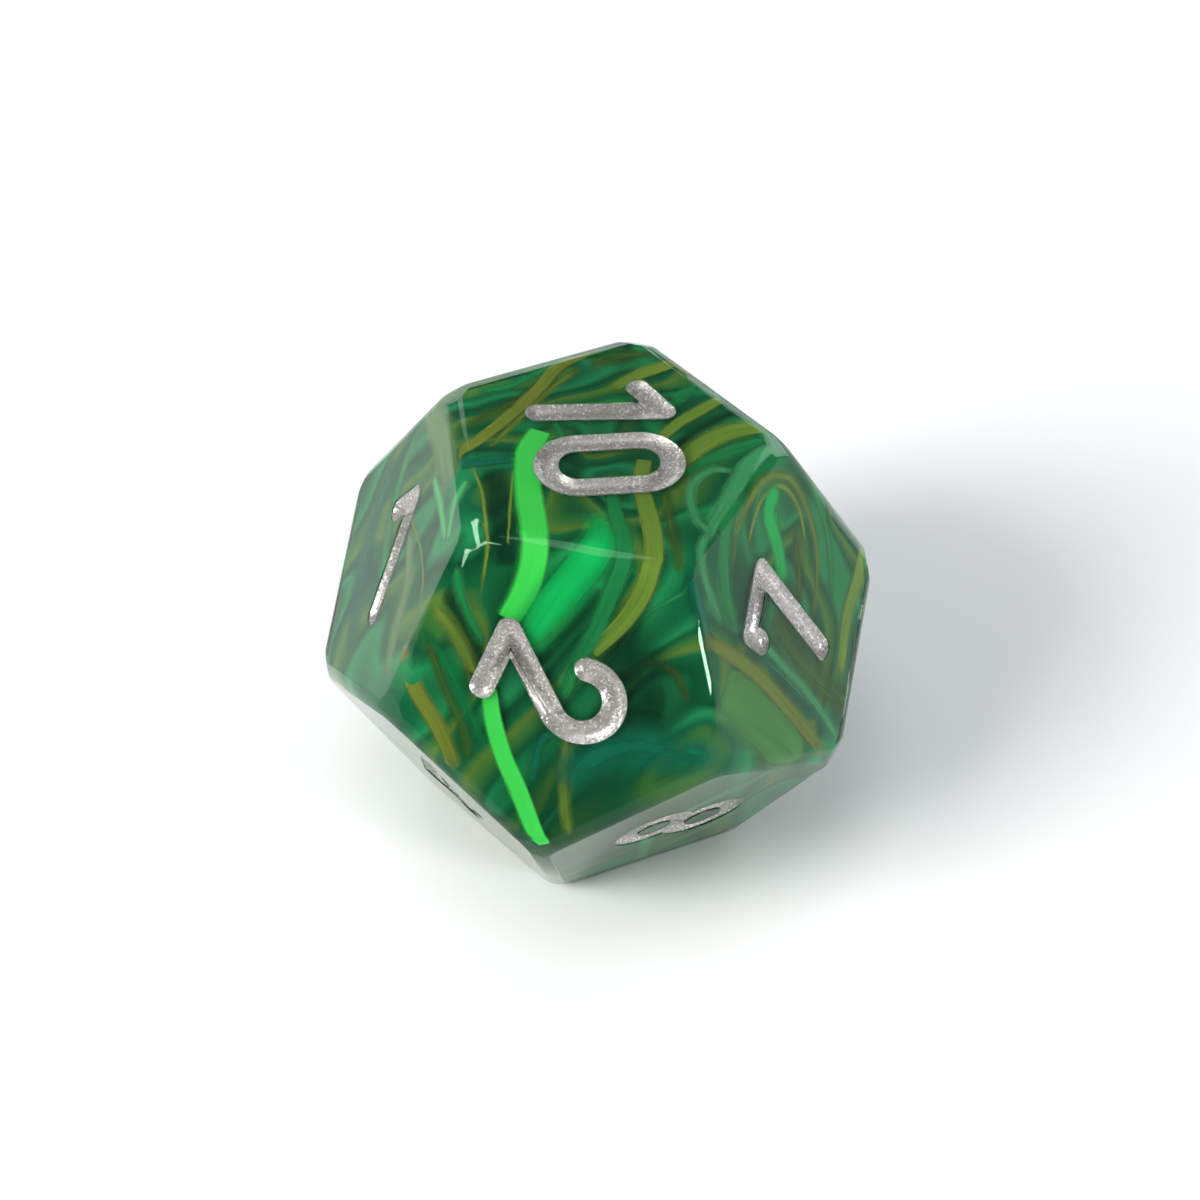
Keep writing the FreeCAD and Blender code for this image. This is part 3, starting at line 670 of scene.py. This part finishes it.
# %% Bands between the streams
BANDS = {
    "gold_band_top_second": ("olive", 0.41,
         [(10, -1.0, -4.3), (10, -2.3, -3.2), (10, -3.9, -1.8), (10, -4.9, -0.7)], {}),
    "olive_band_top_left": ("olive_dark", 0.61,
         [(10, -2.4, -4.9), (10, -3.3, -3.3), (10, -4.7, -1.8), (10, -6.1, -0.6)], {}),
    "emerald_patch_top_left": ("green", 0.63,
         [(10, -4.1, -4.5), (10, -4.3, -3.4), (10, -5.0, -2.2), (10, -5.9, -1.1)], {}),
    "olive_band_top_edge": ("olive_dark", 0.83, [(10, -5.4, 0.3), (10, -5.8, 1.6), (10, -6.0, 2.9)], {}),
    "green_band_top": ("green", 0.76,
         [(10, -2.9, -0.4), (10, -3.0, 1.0), (10, -2.3, 2.3), (10, -3.2, 3.6), (10, -4.0, 4.6)], {}),
    "green_band_top_right": ("green", 0.83,
         [(10, 1.6, 2.6), (10, 0.9, 3.6), (10, 0.3, 5.0), (10, -0.2, 6.5)], {"soft": (0.4, 0.4)}),
    "dark_band_top_right": ("dark", 0.55,
         [(10, -0.1, 2.8), (10, -1.1, 4.0), (10, -1.9, 5.4), (10, -2.1, 6.2)], {}),
    "teal_band_top_left": ("teal", 0.61,
         [(10, 0.1, -5.7), (10, -0.0, -4.7), (10, -0.1, -3.5)], {"soft": (0.15, 0.6)}),
    "dark_patch_top": ("dark", 1.24,
         [(10, 0.9, -4.5), (10, 2.6, -4.4), (10, 4.5, -4.4), (2, -3.7, -4.0)], {"soft": (0.4, 0.4)}),
    "gold_line_top": ("lime", 0.17, [(10, 1.1, -3.8), (10, 3.0, -4.1), (2, -4.5, -4.3)], {}),
    "olive_band_front_right": ("olive_dark", 0.61, [(10, 2.7, 2.1), (10, 4.6, 2.1), (10, 6.5, 2.2)], {}),
    "green_patch_ribbon_top": ("green", 0.69, [(10, -2.0, -1.8), (10, -0.9, -1.6), (10, 0.5, -2.1)], {}),
    "green_band_right_left": ("green", 0.97,
         [(10, 2.6, 5.1), (7, 2.9, 4.6), (7, 1.3, 4.5), (7, -0.2, 3.9), (7, -1.2, 3.0)],
         {"soft": (0.4, 0.4)}),
    "mint_band_right_left": ("mint", 0.61,
         [(10, 4.6, 3.6), (7, 0.8, 5.9), (7, -0.3, 5.1), (7, -1.2, 4.0)], {}),
    "olive_arch_right_outer": ("olive", 0.5,
         [(7, 1.2, 3.8), (7, 2.8, 3.9), (7, 4.9, 2.8), (7, 5.6, 1.2), (7, 5.0, -0.2), (7, 3.7, -1.5),
         (7, 2.1, -2.1), (7, 0.5, -2.2)], {}),
    "green_arch_right": ("green", 0.55, [(7, 5.8, -0.6), (7, 4.9, -1.7), (7, 3.7, -2.6), (7, 2.2, -3.2)], {}),
    "dark_olive_right": ("olive_dark", 0.83,
         [(7, 3.5, 0.0), (7, 2.0, -0.8), (7, 0.5, -1.0), (7, -0.3, -0.6)], {}),
    "emerald_core_right": ("bright_emerald", 0.47,
         [(7, 3.8, 1.6), (7, 2.9, 1.1), (7, 2.0, 0.4)], {"soft": (0.45, 0.45)}),
    "teal_band_right": ("teal", 0.63,
         [(7, -1.5, 2.3), (7, -2.0, -0.4), (7, -2.7, -2.9), (7, -3.6, -4.9)], {}),
    "olive_field_right": ("olive_dark", 1.38,
         [(7, -0.2, 0.2), (7, -1.1, -1.8), (7, -1.8, -4.3), (7, -2.0, -6.0)], {"soft": (0.4, 0.4)}),
    "green_field_right": ("light_green", 2.62,
         [(7, -3.7, 2.7), (7, -4.0, 1.0), (7, -4.7, -1.5), (7, -5.1, -2.9)],
         {"soft": (0.35, 0.35), "ends": 0.25, "tip": 0.6}),
    "teal_band_right_left": ("teal", 0.83,
         [(7, -0.3, 6.1), (7, -1.4, 5.1), (7, -2.5, 4.2)], {"soft": (0.45, 0.45)}),
    "dark_band_front_left": ("dark", 0.83,
         [(2, -1.4, -5.4), (2, -0.1, -4.0), (2, 1.2, -2.6), (2, 2.5, -1.4)], {"soft": (0.4, 0.4)}),
    "green_band_front_left": ("green", 0.55,
         [(2, -2.5, -5.6), (2, -1.7, -5.1), (2, -0.9, -4.3), (2, -0.3, -3.6)], {}),
    "olive_band_front_left_low": ("olive_dark", 0.55,
         [(2, 1.0, -5.2), (2, 2.2, -4.0), (2, 3.4, -2.7), (2, 4.3, -2.1)], {}),
    "dark_gap_front": ("dark", 0.63,
         [(2, -4.8, -1.8), (2, -3.8, -2.0), (2, -2.6, -2.2)], {"soft": (0.3, 0.3)}),
    "dark_gap_front_second": ("dark", 0.69,
         [(2, -4.2, -0.3), (2, -2.9, -0.5), (2, -1.4, -0.9), (2, -0.6, -1.1)], {}),
    "green_thread_front": ("green", 0.19,
         [(2, -5.8, 2.7), (2, -4.3, 1.8), (2, -2.5, 1.4), (2, -1.6, 1.2)], {}),
    "olive_veil_front": ("olive_dark", 0.41,
         [(2, -1.6, 2.0), (2, -2.6, 2.7), (2, -2.7, 3.8), (2, -2.0, 4.6)], {}),
    "teal_veil_front_second": ("teal", 0.41,
         [(2, 3.8, 0.6), (2, 2.5, 0.3), (2, 1.6, 0.8), (2, 1.0, 1.7)], {}),
    "olive_stream_bottom_front": ("olive", 0.55,
         [(2, 1.9, 1.2), (2, 3.2, 1.7), (2, 4.5, 2.3), (2, 5.3, 2.8)], {}),
    "dark_veil_front": ("dark", 2.62,
         [(2, -3.7, 0.4), (2, -2.7, 1.8), (2, -1.3, 3.2), (2, -0.2, 4.1)],
         {"soft": (0.5, 0.5), "ends": 0.35}),
    "pale_olive_left_top": ("pale_olive", 1.52,
         [(1, -1.4, 5.9), (1, 0.8, 5.1), (1, 2.8, 3.8)], {"soft": (0.35, 0.35)}),
    "mint_tongue_left_second": ("mint_bright", 0.61, [(10, 1.2, -5.7), (1, 4.3, 2.9), (1, 4.7, 1.8)], {}),
    "green_band_left": ("green", 0.97,
         [(1, -1.9, 5.1), (1, -2.3, 3.3), (1, -1.9, 1.3), (1, -1.1, -0.6), (1, 0.3, -2.4)],
         {"soft": (0.45, 0.45)}),
    "pale_olive_left_low": ("pale_olive", 0.83,
         [(1, 0.8, 1.0), (1, 2.1, -0.8), (1, 2.5, -2.7), (1, 3.0, -4.3)], {"soft": (0.4, 0.4)}),
}
SLOTTED = ("bright_green", "emerald", "olive", "mint", "lime", "gold", "teal")
SLOTS = {colour: colour + "_resin" for colour in SLOTTED}
BAND_DEPTH, STREAM_DEPTH, LAYER_STEP = 0.445, 0.395, 0.001


def lay_ribbons(table, first_depth, step):
    """Make a table's ribbons, each a little nearer the surface than the one before."""
    for index, (name, (colour, width, route, options)) in enumerate(table.items()):
        film = name.replace("stream", "ribbon") + "_film"
        piece = ribbon(film, first_depth - index * step, width, route, **options)
        slot = SLOTS.get(colour, "clouded_green_resin")
        finish_piece(piece, stream_resins[colour], slot, *([name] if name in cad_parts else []))
    print("ribbons:", len(table))


lay_ribbons(BANDS, BAND_DEPTH, LAYER_STEP)
lay_ribbons(STREAMS, STREAM_DEPTH, LAYER_STEP)

# %% [markdown]
# ## Clouded middle
#
# Deeper in, the colours have run together into marbled bands. Marbling is noise read through noise: the
# place that a band is looked up at is itself pushed about, first by slow swirls about 10 mm across and
# then by quicker ones about 3 mm across, so the bands, some 6 mm wide, curl as poured resin does.

# %% Marbling helper
FLOW = Vector((0.5, 0.4, 0.77))
FLOW_TURN = FLOW.rotation_difference(Vector((0, 0, 1))).to_euler()
FLOW_STRETCH = (1, 1, 0.35)
SLOW_REACH, QUICK_REACH = 6.0, 1.2
MIDDLE_GREY = (0.5, 0.5, 0.5)


def marbled(tree, position, slow, quick, bands, seed):
    """A swirled field between 0 and 1, from places pushed about by two sizes of swirl."""
    turned = add_node(tree, "ShaderNodeMapping", [("Vector", position, "Vector")], Rotation=FLOW_TURN)
    start = add_node(tree, "ShaderNodeMapping", [("Vector", turned, "Vector")], Location=seed,
                     Scale=FLOW_STRETCH)
    place_now = start
    for scale, reach in ((slow, SLOW_REACH), (quick, QUICK_REACH)):
        swirl = add_node(tree, "ShaderNodeTexNoise", [("Vector", place_now, "Vector")], Scale=scale, Detail=1)
        centred = add_node(tree, "ShaderNodeVectorMath", [(0, swirl, "Color")], operation="SUBTRACT")
        centred.inputs[1].default_value = MIDDLE_GREY
        push = add_node(tree, "ShaderNodeVectorMath", [("Vector", centred, "Vector")], operation="SCALE",
                        Scale=reach)
        place_now = add_node(tree, "ShaderNodeVectorMath", [(0, place_now, "Vector"), (1, push, "Vector")],
                             operation="ADD")
    return add_node(tree, "ShaderNodeTexNoise", [("Vector", place_now, "Vector")], Scale=bands, Detail=1.5,
                    Roughness=0.4)


# %% Clouded core
SLOW_SCALE, QUICK_SCALE, BAND_SCALE, CORE_SEED = 0.10, 0.35, 0.17, (3.1, 7.7, 1.9)
# Painted shade: around this point, low on the front under face 2, the marbling is darkened towards a
# near-black green, standing for the dim depth seen there through clearer resin.
PAINTED_SHADE_PLACE, PAINTED_SHADE_COLOUR = (1.6, -9.0, 6.5), "#03402C"
PAINTED_SHADE_FADE = (("From Min", 2.0), ("From Max", 7.5), ("To Min", 0.8), ("To Max", 0.0))
CORE_INSET, CORE_ROUND = 0.46, 0.7
CORE_STOPS = [(0.26, "#0A5038"), (0.34, "#14704A"), (0.39, "#2A9A62"), (0.42, "#0E5E3E"), (0.455, "#4A8040"),
              (0.48, "#6E8C3C"), (0.50, "#1A7048"), (0.535, "#0A5236"), (0.565, "#2E9A66"), (0.60, "#12684A"),
              (0.64, "#5A8A40"), (0.68, "#0E6046"), (0.76, "#06402E")]


def clouded_resin():
    """Pigments run together in polyester resin: gives the eye a marbled middle, darkened low at the front by
    painted shade that stands for the dim depth seen through clearer resin there.
    """
    material, tree, shader = new_material("marbled_polyester_resin")
    position = coordinates_mm(tree)
    field = marbled(tree, position, SLOW_SCALE, QUICK_SCALE, BAND_SCALE, CORE_SEED)
    ramp = add_node(tree, "ShaderNodeValToRGB", [("Fac", field, "Fac")])
    set_ramp(ramp, CORE_STOPS)
    # Painted shade: the nearer a place is to that point low at the front, the more the marbling is mixed
    # towards the dark colour.
    away = add_node(tree, "ShaderNodeVectorMath", [(0, position, "Vector")], operation="DISTANCE")
    away.inputs[1].default_value = PAINTED_SHADE_PLACE
    depth = add_node(tree, "ShaderNodeMapRange", [("Value", away, "Value")], interpolation_type="SMOOTHSTEP")
    for socket, value in PAINTED_SHADE_FADE:
        depth.inputs[socket].default_value = value
    painted_shade_mix = add_node(tree, "ShaderNodeMix", data_type="RGBA")
    tree.links.new(depth.outputs["Result"], painted_shade_mix.inputs["Factor"])
    tree.links.new(ramp.outputs["Color"], painted_shade_mix.inputs["A"])
    painted_shade_mix.inputs["B"].default_value = srgb(PAINTED_SHADE_COLOUR)
    tree.links.new(painted_shade_mix.outputs["Result"], shader.inputs["Base Color"])
    shader.inputs["Roughness"].default_value = PIGMENT_ROUGHNESS
    shader.inputs["Specular IOR Level"].default_value = 0
    return material


core = dodecahedron("marbled_core", CORE_INSET, CORE_ROUND)
only(core)
bpy.ops.object.shade_smooth_by_angle(angle=SMOOTH_ANGLE)
finish_piece(core, clouded_resin(), "clouded_green_resin", "clouded_core")

bpy.data.objects.remove(engraver)

# %% [markdown]
# ## Silver numerals
#
# The paint is wiped into the grooves and dries to a thin coat that sags down their walls, so its top is
# a shallow trough. The filling's flat top is inset three times, each time a little deeper. At the sharp
# corner of a 1 an inset can throw a point far past the outline, so any point that has left the filling is
# put back on its surface.

# %% Paint fillings
TROUGH = ((0.10, 0.11), (0.13, 0.09), (0.13, 0.05))  # each inset's width and drop
PRESSED_IN = 0.015 * MM
COAT_ANGLE = math.radians(50)


def paint_coat(node):
    """The dried paint in one groove, pressed a little into the resin so that no gap shows."""
    coat = copy_of_node(node, node.replace("paint", "silver_coat"))
    filling = BVHTree.FromPolygons([vertex.co.copy() for vertex in coat.data.vertices],
                                   [tuple(polygon.vertices) for polygon in coat.data.polygons])
    select_top(coat, normal(numeral_of(node)))
    for width, drop in TROUGH:
        bpy.ops.mesh.inset(thickness=width * MM, depth=-drop * MM, use_even_offset=False)
    bpy.ops.object.mode_set(mode="OBJECT")
    for vertex in coat.data.vertices:
        nearest, out, _, _ = filling.find_nearest(vertex.co)
        if (vertex.co - nearest).dot(out) > MERGE:
            vertex.co = nearest
    bpy.ops.object.mode_set(mode="EDIT")
    bpy.ops.mesh.select_all(action="SELECT")
    bpy.ops.transform.shrink_fatten(value=PRESSED_IN)
    bpy.ops.object.mode_set(mode="OBJECT")
    bpy.ops.object.shade_smooth_by_angle(angle=COAT_ANGLE)
    return coat


# %% Sparkle paint
FLAKES_PER_MM, FLAKE_LEAN, FLAKE_METAL, PAINT_GLOSS = 14, 0.22, 0.5, 0.35


def sparkle_paint():
    """Acrylic paint with aluminium flakes about 0.07 mm across: gives the eye a grey, grainy glitter."""
    material, tree, shader = new_material("aluminium_flake_paint")
    position = coordinates_mm(tree)
    flakes = add_node(tree, "ShaderNodeTexVoronoi", [("Vector", position, "Vector")], Scale=FLAKES_PER_MM)
    split = add_node(tree, "ShaderNodeSeparateColor", [("Color", flakes, "Color")])
    shade = add_node(tree, "ShaderNodeValToRGB", [("Fac", split, "Red")])
    set_ramp(shade, [(0.0, "#8E8B89"), (0.5, "#A09D9A"), (0.85, "#B4B1AE"), (0.97, "#DCDAD7")])
    centred = add_node(tree, "ShaderNodeVectorMath", [(0, flakes, "Color")], operation="SUBTRACT")
    centred.inputs[1].default_value = MIDDLE_GREY
    lean = add_node(tree, "ShaderNodeVectorMath", [("Vector", centred, "Vector")], operation="SCALE",
                    Scale=FLAKE_LEAN)
    surface = add_node(tree, "ShaderNodeNewGeometry")
    leaning = add_node(tree, "ShaderNodeVectorMath", [(0, surface, "Normal"), (1, lean, "Vector")],
                       operation="ADD")
    facing = add_node(tree, "ShaderNodeVectorMath", [(0, leaning, "Vector")], operation="NORMALIZE")
    tree.links.new(shade.outputs["Color"], shader.inputs["Base Color"])
    tree.links.new(facing.outputs["Vector"], shader.inputs["Normal"])
    shader.inputs["Metallic"].default_value = FLAKE_METAL
    shader.inputs["Roughness"].default_value = PAINT_GLOSS
    return material


paint = sparkle_paint()
for node in PAINTS:
    finish_piece(paint_coat(node), paint, "silver_sparkle_paint", node)
print("paint coats:", len(PAINTS))
